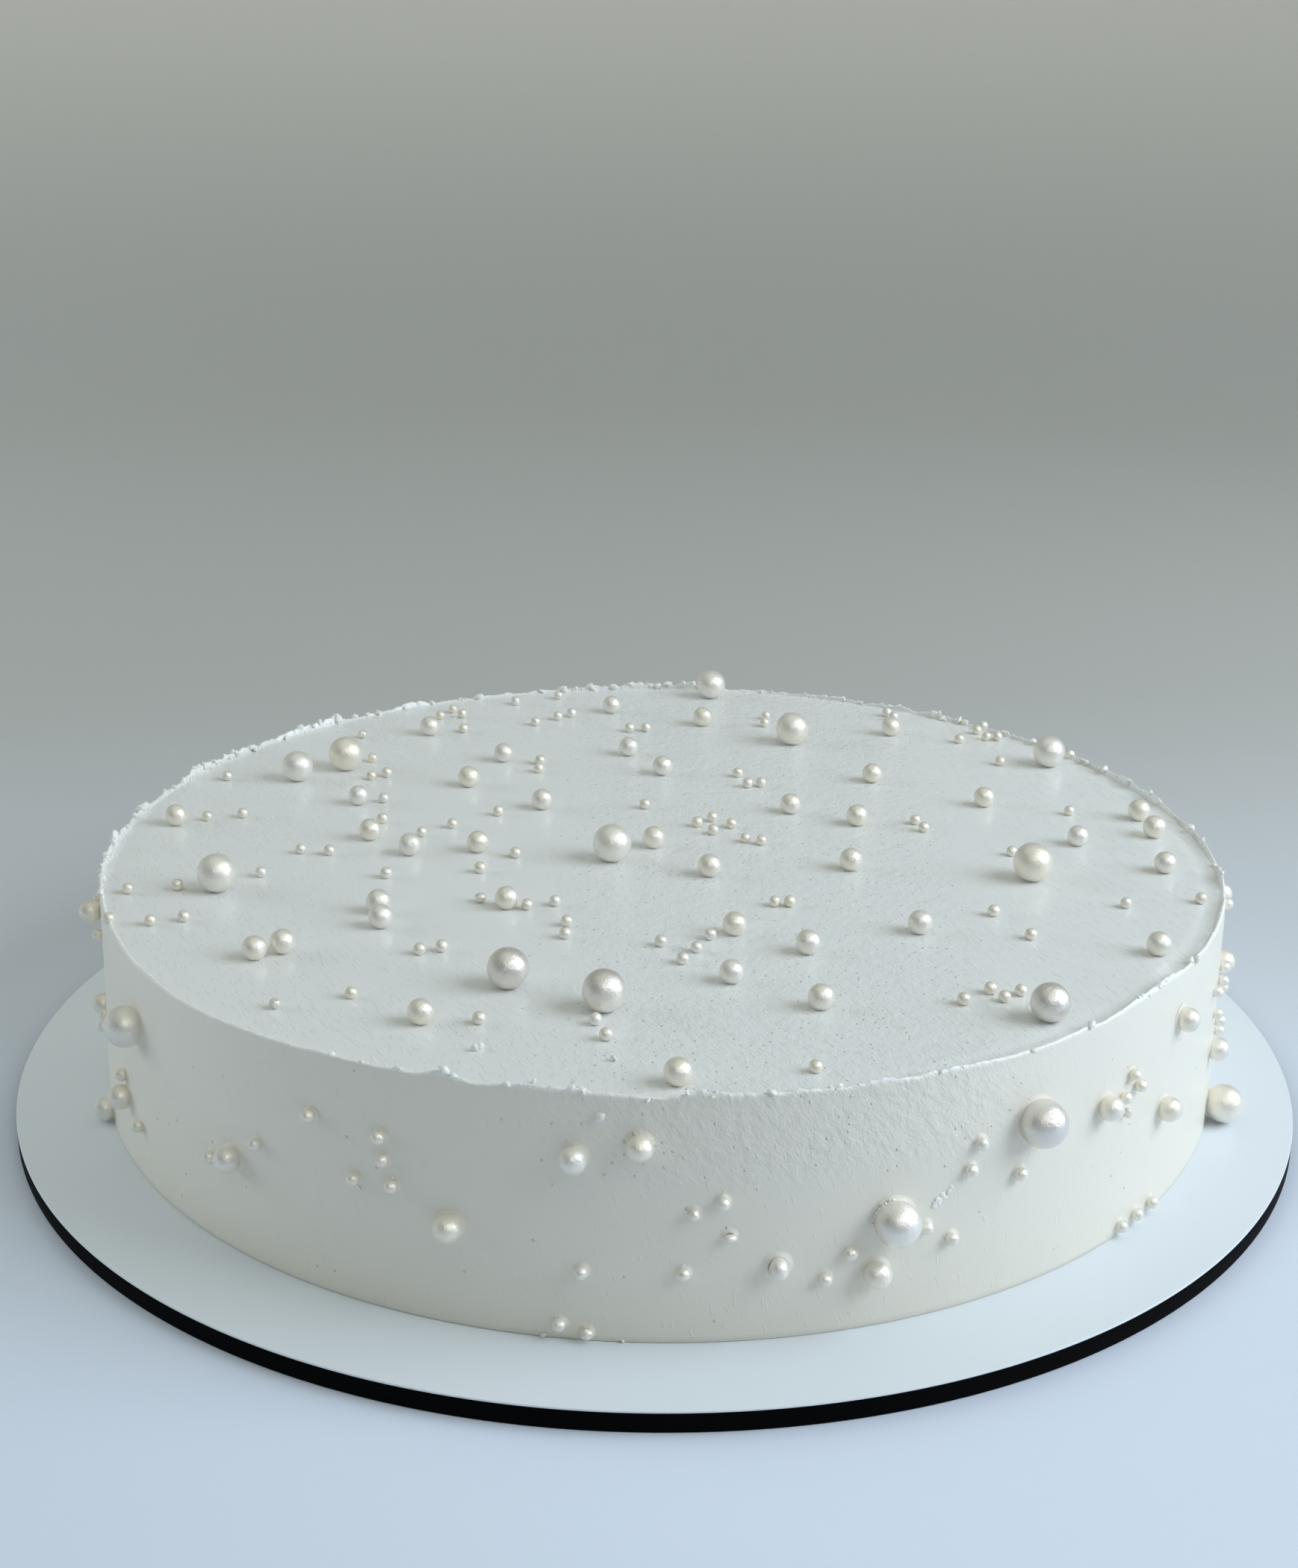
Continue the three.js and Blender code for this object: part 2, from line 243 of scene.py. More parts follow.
def cream_outline():
    """The outline as distances from the axis and heights, from the axis out and back."""
    under = [0.0, FOOT_RADIUS * 0.5, FOOT_RADIUS - FOOT_INSET, FOOT_RADIUS - FOOT_ROUND]
    rows = [(radius, 0.0) for radius in under]
    neck = CAKE_HEIGHT - LIP_START
    wall = np.linspace(FOOT_ROUND, neck, int(neck / WALL_STEP))
    near_top = np.linspace(neck, CAKE_HEIGHT, int(LIP_START / NECK_STEP) + 1)[1:]
    rows += [(plain_radius(height), height) for height in [*wall, *near_top]]
    crest = np.linspace(0, LIP_WIDTH, CREST_STEPS + 1)[1:]
    slope = LIP_WIDTH + np.linspace(0, LIP_SLOPE, SLOPE_STEPS + 1)[1:]
    rows += [(RIM_RADIUS - inset, CAKE_HEIGHT) for inset in [*crest, *slope, *TOP_INSETS]]
    rows.append((0.0, CAKE_HEIGHT))
    return rows


def in_order(shape):
    """The same shape with its faces in a fixed order."""
    shape.verts.index_update()
    rings = []
    for face in shape.faces:
        ring = [corner.index for corner in face.verts]
        start = ring.index(min(ring))
        rings.append(ring[start:] + ring[:start])
    ordered = bmesh.new()
    corners = [ordered.verts.new(corner.co) for corner in shape.verts]
    for ring in sorted(rings):
        ordered.faces.new([corners[index] for index in ring])
    shape.free()
    ordered.normal_update()
    return ordered


def spun(rows, slice_steps, doublings):
    """A closed shape about +Z from an outline that starts and ends on the axis: a slice, doubled round."""
    shape = bmesh.new()
    line = [shape.verts.new((radius, 0, height)) for radius, height in rows]
    edges = [shape.edges.new(pair) for pair in zip(line, line[1:])]
    angle = math.tau / 2 ** doublings
    bmesh.ops.spin(shape, geom=line + edges, cent=(0, 0, 0), axis=(0, 0, 1), angle=angle, steps=slice_steps)
    for _ in range(doublings):
        copied = bmesh.ops.duplicate(shape, geom=shape.verts[:] + shape.edges[:] + shape.faces[:])
        corners = [item for item in copied["geom"] if isinstance(item, bmesh.types.BMVert)]
        bmesh.ops.rotate(shape, verts=corners, cent=(0, 0, 0), matrix=Matrix.Rotation(angle, 3, "Z"))
        angle *= 2
    bmesh.ops.remove_doubles(shape, verts=shape.verts, dist=WELD)
    bmesh.ops.recalc_face_normals(shape, faces=shape.faces)
    return in_order(shape)


drum = spun(cream_outline(), SLICE_STEPS, SLICE_DOUBLINGS)
lip_rings = [
    edge for edge in drum.edges
    if abs(edge.verts[0].co.z - edge.verts[1].co.z) < WELD
    and abs(edge.verts[0].co.xy.length - edge.verts[1].co.xy.length) < WELD
    and edge.verts[0].co.z > CAKE_HEIGHT - LIP_START + WELD
    and edge.verts[0].co.xy.length > RIM_RADIUS - LIP_WIDTH - LIP_SLOPE - WELD
]
bmesh.ops.subdivide_edges(drum, edges=lip_rings, cuts=LIP_CUTS, use_grid_fill=True)
drum = in_order(drum)
print("drum faces:", len(drum.faces), "lip ring edges split:", len(lip_rings))

# %% [markdown]
# The lip is a thin sheet of cream that the scraper pushed up round the rim, with a steep inner side. Its
# shape is a few small functions of the bearing and of the distance in from the wall. Cream tears in
# plateaus and notches, so the noise that breaks the crest is steepened before it is used. Two small tables
# say how ragged and how wide the lip is round the cake: the scraper drew it cleanly on the front left and
# left crumbs on the far left. Just inside it, on the right, it left a shallow trough.

# %% The shape of the lip and of the trough inside it
RAGGED = [
    (-180, 1), (-78, 1), (-72, 0.3), (-22, 0.3), (-15, 0.9),
    (20, 0.8), (30, 0.4), (105, 0.4), (125, 1), (180, 1),
]
WIDE = [(-180, 1.2), (-140, 1.4), (-130, 1.7), (-88, 1.7), (-78, 1), (30, 1), (60, 1.2), (180, 1.2)]
NOTCHES = [(6.5 * MM, 0.35), (2.3 * MM, 0.25)]
NOTCH_STEP = (-0.3, 0.05)
CREST_PLACE = 0.45
CREST_OUTER = 0.3
CREST_INNER = 0.1
TROUGH = (1.6 * MM, 8 * MM)
TROUGH_DEPTH = 0.35 * MM
TROUGH_STRETCH = (5, 125)
TROUGH_FADE = 25


def smooth(value, low, high):
    """0 below low, 1 above high and a smooth step between."""
    share = min(max((value - low) / (high - low), 0.0), 1.0)
    return share * share * (3 - 2 * share)


def from_table(bearing, table):
    """The value of a table of bearings at one bearing."""
    return float(np.interp(bearing, *zip(*table)))


def crest_profile(inset, width):
    """The share of the lip's height at a distance in from the wall: up to the crest, then steeply down."""
    across = inset / width
    if across < CREST_PLACE:
        return CREST_OUTER + (1 - CREST_OUTER) * math.sin(math.pi / 2 * across / CREST_PLACE)
    if across < 1:
        return CREST_INNER + (1 - CREST_INNER) * (1 - smooth(across, CREST_PLACE, 1))
    return CREST_INNER * (1 - smooth(inset, width, LIP_WIDTH + LIP_SLOPE))


def trough(inset, bearing):
    """How deep the trough inside the lip is at a distance in from the wall. It runs round the right side."""
    middle = (TROUGH[0] + TROUGH[1]) / 2
    across = smooth(inset, TROUGH[0], middle) * (1 - smooth(inset, middle, TROUGH[1]))
    inside = min(bearing - TROUGH_STRETCH[0], TROUGH_STRETCH[1] - bearing)
    return TROUGH_DEPTH * across * smooth(inside, 0, TROUGH_FADE)


def notches(place, ragged):
    """The share of the crest that still stands at a place: plateaus with notches between them."""
    standing = 1.0
    for size, depth in NOTCHES:
        standing *= 1 - ragged * depth * (1 - smooth(noise.noise(place / size), *NOTCH_STEP))
    return standing


profile = [crest_profile(share * LIP_WIDTH, LIP_WIDTH) for share in (0, 0.25, 0.5, 0.75, 1)]
print("shares of the lip's height, from the wall in:", np.round(profile, 2))

# %% [markdown]
# Now the corners move. The wall takes up the swells of the solid, and the lip rises to the solid's own
# height at each bearing, broken by its notches and roughened by finer noise, more so where it is ragged
# and high. The corners of the top and of the lip's crest are marked with two attributes, so that the
# finish can tell them from the wall: it paints the top a cooler colour, which is painted light, and the
# crest a paler one, which is a painted highlight.
# The vector noise of the tears would start from the clock, so it gets a seed, and each run tears alike.

# %% Move the drum's corners into the cream's real shape
TEARS = [(3.2 * MM, 0.3 * MM), (1.3 * MM, 0.18 * MM), (0.6 * MM, 0.1 * MM)]
TORN_BY_SHARE = 1.3
TORN_LEAST, TORN_BY_LIFT = 0.5, 0.35
SWAYS = [(55 * MM, 0.35 * MM), (16 * MM, 0.06 * MM)]
SWAY_RISE = 12 * MM
SWELL_REACH = 40 * MM
CREST_INSET, TOP_INSET = 0.1 * MM, 0.95 * MM
NOISE_SEED = 1
noise.seed_set(NOISE_SEED)


def shaped(point):
    """Where a corner of the plain drum goes."""
    radius, height = math.hypot(point.x, point.y), point.z
    if radius < WELD:
        return Vector((axis[0], axis[1], base + height))
    bearing = math.degrees(math.atan2(point.x, -point.y))
    outward = Vector((point.x / radius, point.y / radius, 0))
    inset = plain_radius(height) - radius
    near_rim = max(0.0, 1 - inset / SWELL_REACH)
    offset = np.interp(bearing, *neck_offsets) * (height / CAKE_HEIGHT) * near_rim
    moved = Vector(outward * (radius + offset))
    moved.z = height
    on_top = height > CAKE_HEIGHT - WELD
    neck = CAKE_HEIGHT - LIP_START
    if height > neck - WELD and inset < LIP_WIDTH + LIP_SLOPE:
        lift = np.interp(bearing, *crest_heights)
        climb = 1.0 if on_top else ((height - neck) / LIP_START) ** 2
        share = climb * crest_profile(max(inset, 0.0), LIP_WIDTH * from_table(bearing, WIDE))
        ragged = from_table(bearing, RAGGED)
        moved.z += lift * share * notches(moved, ragged)
        torn = ragged * min(1.0, TORN_BY_SHARE * share) * min(1.0, TORN_LEAST + TORN_BY_LIFT * lift / MM)
        for size, depth in TEARS:
            moved += noise.noise_vector(moved / size) * depth * torn
    elif height > WELD and inset < WELD:
        for size, depth in SWAYS:
            moved += outward * noise.noise(moved / size) * depth * min(1.0, height / SWAY_RISE)
    if on_top:
        moved.z -= trough(inset, bearing)
    return moved + Vector((axis[0], axis[1], base))


# The top mark gives the top its gloss and its painted cool colour. The crest mark carries the crest's painted
# highlight.
top_mark = drum.verts.layers.float.new("top")
thin_mark = drum.verts.layers.float.new("thin")
for corner in drum.verts:
    high = corner.co.z > CAKE_HEIGHT - WELD
    inset = plain_radius(corner.co.z) - corner.co.xy.length
    corner[top_mark] = float(high and inset > TOP_INSET)
    corner[thin_mark] = float(high and CREST_INSET < inset <= TOP_INSET)
    corner.co = shaped(corner.co)
print("corners marked top:", sum(corner[top_mark] > 0 for corner in drum.verts))
print("corners marked thin:", sum(corner[thin_mark] > 0 for corner in drum.verts))

# %% [markdown]
# Every piece becomes an object in the same way: its mesh holds its place, so the object itself stays at
# the origin, unturned. It rides on the cake's one body, hides the solids that it stands for, and takes its
# finish. A crumb can be marked as the lip's crest is, so that it takes a share of the crest's painted
# highlight.

# %% Turn a shape into a piece
def piece_from(shape, name, finish, stands_for=()):
    """Makes an object from a bmesh, hangs it on the cake's body and hides the solids that it stands for."""
    mesh = bpy.data.meshes.new(name)
    shape.to_mesh(mesh)
    shape.free()
    for polygon in mesh.polygons:
        polygon.use_smooth = True
    piece = bpy.data.objects.new(name, mesh)
    bpy.context.scene.collection.objects.link(piece)
    piece.data.materials.append(finish)
    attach(piece, "root")
    if stands_for:
        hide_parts(*stands_for)
    triangles = sum(len(polygon.vertices) - 2 for polygon in mesh.polygons)
    print(name, "triangles:", triangles)
    return piece


def mark_thin(piece, share):
    """Marks a whole piece for a share of the crest's painted highlight."""
    marks = piece.data.attributes.new("thin", "FLOAT", "POINT")
    marks.data.foreach_set("value", [share] * len(marks.data))


others = [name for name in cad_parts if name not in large_names]
print("solids that the pieces stand for:", ", ".join(others), "and", len(large_names), "large pearls")

# %% [markdown]
# A finish is a tree of nodes. Its sums could be built node by node, which is hard to read. Instead a small
# class wraps a socket, so that sums read as they do on paper: 1 - mask adds a Math node by itself.

# %% A socket that can be reckoned with
class Wire:
    """One output of a node. Sums on it add Math nodes."""

    def __init__(self, finish, socket):
        self.finish, self.socket = finish, socket

    def maths(self, operation, first, second):
        """Adds a Math node."""
        return self.finish.node("ShaderNodeMath", {"operation": operation}, {0: first, 1: second})

    def __add__(self, other):
        return self.maths("ADD", self, other)

    def __sub__(self, other):
        return self.maths("SUBTRACT", self, other)

    def __rsub__(self, other):
        return self.maths("SUBTRACT", other, self)

    def __mul__(self, other):
        return self.maths("MULTIPLY", self, other)

    __radd__, __rmul__ = __add__, __mul__


print("sums that work from the right as well:", [name for name in vars(Wire) if name.startswith("__r")])

# %% [markdown]
# A second class holds the tree itself and adds any node in one call. Its other methods are the few that
# every finish here needs: noise, a smooth step, a blend and a bump. Colours go through Mix nodes, since a
# Math node would turn them grey.

# %% A finish and its nodes
class Finish:
    """A tree of nodes that starts empty: that of a new material, or of the world when one is handed in."""

    def __init__(self, name, world=None):
        self.owner = world or bpy.data.materials.new(name)
        self.owner.use_nodes = True
        self.tree = self.owner.node_tree
        self.tree.nodes.clear()

    def node(self, kind, settings=None, inputs=None, output=0):
        """Adds a node: its settings first, then the values or links of its sockets."""
        made = self.tree.nodes.new(kind)
        for name, value in (settings or {}).items():
            setattr(made, name, value)
        for name, value in (inputs or {}).items():
            if isinstance(value, Wire):
                self.tree.links.new(value.socket, made.inputs[name])
            else:
                made.inputs[name].default_value = value
        return Wire(self, made.outputs[output])

    def place(self):
        """Object coordinates."""
        return self.node("ShaderNodeTexCoord", output="Object")

    def part(self, vector, name):
        """X, Y or Z of a vector."""
        return self.node("ShaderNodeSeparateXYZ", inputs={"Vector": vector}, output=name)

    def noise(self, scale, detail=2.0, roughness=0.5, where=None):
        """Noise of a scale in lumps a metre, as a number from 0 to 1."""
        inputs = {"Vector": where or self.place(), "Scale": scale, "Detail": detail, "Roughness": roughness}
        return self.node("ShaderNodeTexNoise", inputs=inputs)

    def stretched(self, lumps, turn=(0, 0, 0)):
        """Object coordinates, turned and counted in lumps of three lengths. Noise on them takes scale 1."""
        inputs = {"Vector": self.place(), "Scale": lumps, "Rotation": turn}
        return self.node("ShaderNodeMapping", {"vector_type": "TEXTURE"}, inputs)

    def between(self, value, low, high):
        """0 below low, 1 above high and a smooth step between."""
        settings = {"interpolation_type": "SMOOTHSTEP"}
        inputs = {"Value": value, "From Min": low, "From Max": high}
        return self.node("ShaderNodeMapRange", settings, inputs)

    def blend(self, share, first, second):
        """A colour between two colours."""
        first, second = ((*end, 1) if isinstance(end, tuple) else end for end in (first, second))
        return self.node("ShaderNodeMix", {"data_type": "RGBA"}, {0: share, 6: first, 7: second}, output=2)

    def bump(self, height, depth, strength=1.0):
        """A surface normal from a height between 0 and 1 and its depth in metres."""
        return self.node("ShaderNodeBump", inputs={"Height": height, "Distance": depth, "Strength": strength})

    def surface(self, **sockets):
        """Ends the tree in one Principled shader. Underscores stand for spaces."""
        inputs = {name.replace("_", " "): value for name, value in sockets.items()}
        return self.ended(self.node("ShaderNodeBsdfPrincipled", inputs=inputs), "ShaderNodeOutputMaterial")

    def ended(self, shader, kind):
        """Joins a shader to the output node and gives back what the tree belongs to."""
        end = self.tree.nodes.new(kind)
        self.tree.links.new(shader.socket, end.inputs["Surface"])
        return self.owner


print("ways to add nodes:", [name for name in vars(Finish) if not name.startswith("_")])

# %% [markdown]
# The cream is whipped and scraped: ivory white and satin, with more gloss on the top, because another pass
# of the scraper finished it. The top is also painted a cooler white than the wall, which is painted cool
# light from overhead. The scraper leaves long faint streaks and nicks there, and the air bubbles that it
# opened leave specks, most of them high on the front, where the wall is also a little like leather. All
# this is finer than the mesh, so it is a bump: noise stretched along the scraper's path, and a Voronoi
# pattern of which only a few cells show. The nicks are also painted paler, a painted highlight. The lip's
# crest and its tall parts are painted paler as well: a painted highlight of the light that they catch.

# %% Cream finish
CREAM = (0.88, 0.835, 0.73)
# The top's colour is cooler than the wall's: painted cool light from overhead.
CREAM_TOP_PAINTED_COOL = (0.865, 0.87, 0.855)
# This paler colour on the crest, the tall lip, flakes, crumbs and nicks is a painted highlight.
CREAM_PAINTED_HIGHLIGHT = (0.97, 0.96, 0.92)
TOP_ROUGHNESS = 0.22
WALL_ROUGHNESS = 0.36
# Where the lip stands higher than this over the top, it is painted paler: a painted highlight.
PAINTED_HIGHLIGHT_LIFT = (0.9 * MM, 1.8 * MM)
SCRAPER_WAY = math.radians(-61)
STREAKS, STREAK_DEPTH = (45 * MM, 3.8 * MM, 3.8 * MM), 0.16
# The nicks are raised by the bump and also painted paler: a painted highlight.
NICKS, NICK_BAND, NICK_DEPTH, NICK_PAINTED_HIGHLIGHT = (4.5 * MM, 0.8 * MM, 1.6 * MM), (0.62, 0.7), 0.35, 0.6
NICKS_OUT = (60 * MM, 150 * MM)
TICKS, TICK_BAND, TICK_DEPTH = (0.9 * MM, 1.2 * MM, 4.0 * MM), (0.64, 0.76), 0.18
TICKS_LEAN = math.radians(-15)
LEATHER, LEATHER_DEPTH, LEATHER_ELSEWHERE = (3.0 * MM, 3.6 * MM, 4.8 * MM), 1.8, 0.14
LEATHER_LEAN = math.radians(-35)
LEATHER_RISE = (base + 38 * MM, base + 52 * MM)
LEATHER_LEFT, LEATHER_RIGHT = (-45 * MM, -5 * MM), (77 * MM, 107 * MM)
SPECK_CELLS, SPECK_BAND, SPECK_DEPTH = 400, (0.07, 0.2), 1.1
CELLS_BARE, MORE_BARE_ON_TOP, FEWER_BARE_IN_LEATHER, BARE_STEP = 0.95, 0.045, 0.45, 0.01
RELIEF, RELIEF_STRENGTH = 0.35 * MM, 0.9


def cream_finish():
    """Satin cream with the scraper's streaks, nicks and specks, and painted light: a cooler top and a painted
    highlight on the crest and the nicks.
    """
    finish = Finish("cream")
    where = finish.place()
    across = finish.part(where, "X")
    height = finish.part(where, "Z")
    level = finish.node("ShaderNodeVectorMath", {"operation": "MULTIPLY"}, {0: where, 1: (1, 1, 0)})
    middle = (axis[0], axis[1], 0)
    out = finish.node("ShaderNodeVectorMath", {"operation": "DISTANCE"}, {0: level, 1: middle}, "Value")
    on_top = finish.node("ShaderNodeAttribute", {"attribute_name": "top"}, output="Fac")
    # The crest mark and the tall parts of the lip carry the painted highlight.
    crest = finish.node("ShaderNodeAttribute", {"attribute_name": "thin"}, output="Fac")
    tall = finish.between(height, *[base + CAKE_HEIGHT + rise for rise in PAINTED_HIGHLIGHT_LIFT])
    thin = crest.maths("MAXIMUM", crest, tall)
    leather_zone = finish.between(height, *LEATHER_RISE)
    leather_zone *= finish.between(across, *LEATHER_LEFT)
    leather_zone *= 1 - finish.between(across, *LEATHER_RIGHT)
    streaks = finish.noise(1, detail=3, where=finish.stretched(STREAKS, (0, 0, SCRAPER_WAY)))
    nicks = finish.noise(1, detail=1, where=finish.stretched(NICKS, (0, 0, SCRAPER_WAY)))
    ticks = finish.noise(1, detail=1, where=finish.stretched(TICKS, (0, TICKS_LEAN, 0)))
    leather = finish.noise(1, detail=4, roughness=0.65, where=finish.stretched(LEATHER, (0, LEATHER_LEAN, 0)))
    cells = {"Vector": where, "Scale": SPECK_CELLS}
    from_middle = finish.node("ShaderNodeTexVoronoi", {"feature": "F1"}, cells)
    pick = finish.node("ShaderNodeTexVoronoi", {"feature": "F1"}, cells, "Color")
    chance = finish.node("ShaderNodeSeparateColor", inputs={"Color": pick})
    bare = CELLS_BARE + on_top * MORE_BARE_ON_TOP - leather_zone * FEWER_BARE_IN_LEATHER
    specks = finish.between(chance, bare, bare + BARE_STEP) * (1 - finish.between(from_middle, *SPECK_BAND))
    nicked = finish.between(nicks, *NICK_BAND) * on_top * finish.between(out, *NICKS_OUT)
    ticked = finish.between(ticks, *TICK_BAND) * (1 - on_top)
    relief = streaks * on_top * STREAK_DEPTH + leather * (leather_zone * LEATHER_DEPTH + LEATHER_ELSEWHERE)
    relief += nicked * NICK_DEPTH
    relief += ticked * TICK_DEPTH
    relief += specks * SPECK_DEPTH
    # The top is painted cooler, as painted light, and its nicks paler, as a painted highlight.
    top_painted_colour = finish.blend(nicked * NICK_PAINTED_HIGHLIGHT, CREAM_TOP_PAINTED_COOL, CREAM_PAINTED_HIGHLIGHT)
    return finish.surface(
        # The base colour holds painted light: a cooler top and a painted highlight on the crest.
        Base_Color=finish.blend(thin, finish.blend(on_top, CREAM, top_painted_colour), CREAM_PAINTED_HIGHLIGHT),
        Roughness=WALL_ROUGHNESS + on_top * (TOP_ROUGHNESS - WALL_ROUGHNESS),
        Normal=finish.bump(relief, RELIEF, RELIEF_STRENGTH),
        IOR=1.5,
    )


cream = cream_finish()
cream_piece = piece_from(drum, "cream", cream, ["cake"])

# %% [markdown]
# Sugar pearls are sugar balls in a pearly coat. The coat is a thin layer of fine mica, so it mirrors a
# little like satin metal: the side towards the light glitters, the middle looks grey and the edge ivory. A
# coat that is half metal and half plain sugar gives that, and a coarse grain in the bump breaks the
# highlight up. A few large pearls are silver, with more metal. The others are ivory, some a little paler,
# which slow noise decides.

# %% Pearl finish
PEARL_IVORY = (0.95, 0.895, 0.775)
PEARL_PALE = (0.935, 0.90, 0.83)
PEARL_SILVER = (0.82, 0.78, 0.725)
IVORY_METAL, SILVER_METAL = 0.5, 0.72
SILVER_PEARLS = {1, 2, 7, 12, 13}
GRAIN, DIMPLES, TINTS, TINT_BAND = 1900, 700, 24, (0.4, 0.6)
GRAIN_DEPTH, DIMPLE_DEPTH, COAT_RELIEF = 0.8, 0.5, 0.17 * MM
COAT_ROUGHNESS, GRAIN_ROUGHNESS = 0.2, 0.3


def pearl_finish(name, first, second, metal):
    """A pearly coat that drifts between two colours."""
    finish = Finish(name)
    where = finish.place()
    grain = finish.noise(GRAIN, detail=3, roughness=0.65, where=where)
    dimples = finish.noise(DIMPLES, detail=1, where=where)
    tint = finish.noise(TINTS, detail=2, where=where)
    return finish.surface(
        Base_Color=finish.blend(finish.between(tint, *TINT_BAND), first, second),
        Metallic=metal,
        Roughness=grain * GRAIN_ROUGHNESS + COAT_ROUGHNESS,
        Normal=finish.bump(grain * GRAIN_DEPTH + dimples * DIMPLE_DEPTH, COAT_RELIEF),
    )


ivory_coat = pearl_finish("sugar_pearl", PEARL_IVORY, PEARL_PALE, IVORY_METAL)
silver_coat = pearl_finish("sugar_pearl_silver", PEARL_SILVER, PEARL_PALE, SILVER_METAL)
print("nodes in a coat:", len(ivory_coat.node_tree.nodes), "and in the cream:", len(cream.node_tree.nodes))

# %% [markdown]
# Each pearl is a ball. It could come from the icosphere operator each time, but one ball for each size,
# made once and copied, is much quicker. Balls of a size that is common have fewer faces.

# %% Patterns to copy balls from
BALL_DETAIL = {"large": 5, "medium": 4, "small": 3}


def ball_pattern(detail):
    """A ball of radius 1 as a mesh to copy from."""
    shape = bmesh.new()
    bmesh.ops.create_icosphere(shape, subdivisions=detail, radius=1)
    mesh = bpy.data.meshes.new(f"ball_pattern_{detail}")
    shape.to_mesh(mesh)
    shape.free()
    return mesh


def stamped(shape, pattern):
    """Adds a copy of a pattern to a shape and gives its corners."""
    before = len(shape.verts)
    shape.from_mesh(pattern)
    shape.verts.ensure_lookup_table()
    return shape.verts[before:]


ball_patterns = {size: ball_pattern(detail) for size, detail in BALL_DETAIL.items()}
print("faces of a ball:", {size: len(pattern.polygons) for size, pattern in ball_patterns.items()})

# %% [markdown]
# A few pearls are odd: flattened, chipped or dented. A list says where they lie, by the top's middle or by
# the wall's bearing and height, and how far they are squeezed and crumpled. The same helpers place the
# crumbs later.

# %% Where the odd pearls lie
def outward_at(place):
    """The level direction from the cake's axis to a place."""
    return Vector((place.x - axis[0], place.y - axis[1], 0)).normalized()


def on_top_at(x, y):
    """A place on the top, in millimetres from the cake's axis."""
    return Vector((axis[0] + x * MM, axis[1] + y * MM, base + CAKE_HEIGHT))


def at_bearing(bearing, out, height):
    """A place at a bearing in degrees, a distance from the cake's axis and a height above the board."""
    turn = math.radians(bearing)
    return Vector((axis[0] + out * math.sin(turn), axis[1] - out * math.cos(turn), base + height))


def on_wall_at(bearing, height):
    """A place on the wall, at a bearing in degrees and a height above the board in millimetres."""
    out = plain_radius(height * MM) + np.interp(bearing, *neck_offsets) * height * MM / CAKE_HEIGHT
    return at_bearing(bearing, out, height * MM)


# Each odd pearl: where it lies, its shares of the usual size across, outward and upward, and its crumpling.
odd_pearls = [
    (on_wall_at(9.6, 21), (0.74, 0.85, 0.86), 0.05),
    (on_wall_at(5.6, 30), (1.0, 0.75, 0.6), 0.1),
    (on_wall_at(45.6, 38), (0.6, 0.7, 0.95), 0.5),
    (on_wall_at(2.7, 36.6), (0.88, 0.85, 0.95), 0.22),
    (on_wall_at(-6, 2.6), (1.0, 0.75, 0.9), 0.5),
    (on_top_at(-101, -123), (0.95, 0.9, 0.8), 0.5),
    (on_top_at(-53, -49), (1.0, 1.0, 0.85), 0.35),
    (on_top_at(-108, 107), (1.0, 1.0, 0.85), 0.35),
]
ODD_REACH = 4.5 * MM


def oddness(middle):
    """The size shares and the crumpling of the pearl whose middle this is."""
    for place, shares, crumpling in odd_pearls:
        if (place - middle).length < ODD_REACH:
            return shares, crumpling
    return (1, 1, 1), 0.0


print("odd pearls found:", sum(oddness(middle)[1] > 0 for middle, _ in medium_pearls + small_pearls))

# %% [markdown]
# Sugar is tumbled, and no two pearls come out alike, so each copy of a ball is pushed slightly out of
# round by noise. Every large pearl is a piece of its own, as its solid is. All medium pearls are joined in
# one mesh and all small ones in another.

# %% Make the pearls
UNEVEN = {"large": 0.012, "medium": 0.025, "small": 0.045}
SWELL_FINENESS, CRUMPLE_FINENESS, CRUMPLE_FROM = 1.1, 1.7, 0.1
BALL_SEED = 997


def add_ball(shape, middle, radius, size):
    """Adds one slightly uneven ball to a shape."""
    seed = middle * BALL_SEED
    shares, crumpling = oddness(middle)
    outward = outward_at(middle)
    along = Vector((0, 0, 1)).cross(outward)
    for corner in stamped(shape, ball_patterns[size]):
        direction = corner.co.normalized()
        swell = noise.noise(direction * SWELL_FINENESS + seed) * UNEVEN[size] - UNEVEN[size] * 0.5
        swell -= crumpling * max(0.0, noise.noise(direction * CRUMPLE_FINENESS + seed) + CRUMPLE_FROM)
        x, y, z = (share * part for share, part in zip(shares, direction))
        corner.co = middle + (along * x + outward * y + Vector((0, 0, z))) * radius * (1 + swell)


for number, (name, (middle, radius)) in enumerate(large_pearls.items(), start=1):
    shape = bmesh.new()
    add_ball(shape, middle, radius, "large")
    coat = silver_coat if number in SILVER_PEARLS else ivory_coat
    piece_from(shape, f"large_sugar_pearl_{number:02d}", coat, [name])

for size, pearls in {"medium": medium_pearls, "small": small_pearls}.items():
    shape = bmesh.new()
    for middle, radius in pearls:
        add_ball(shape, middle, radius, size)
    piece_from(shape, f"{size}_sugar_pearls", ivory_coat, ["cake"])

# %% [markdown]
# Where a pearl is pressed into the wall, the soft cream swells up round it in a low collar. The collar's
# outline is spun into one ring, a pattern to copy.

# %% Spin the pattern of a collar
COLLAR_STEPS = 24
COLLAR_RISES = [(-0.35, 0.3), (-0.05, 0.4), (0.15, 0.33), (0.4, 0.15), (0.7, 0.04), (1.0, -0.05)]

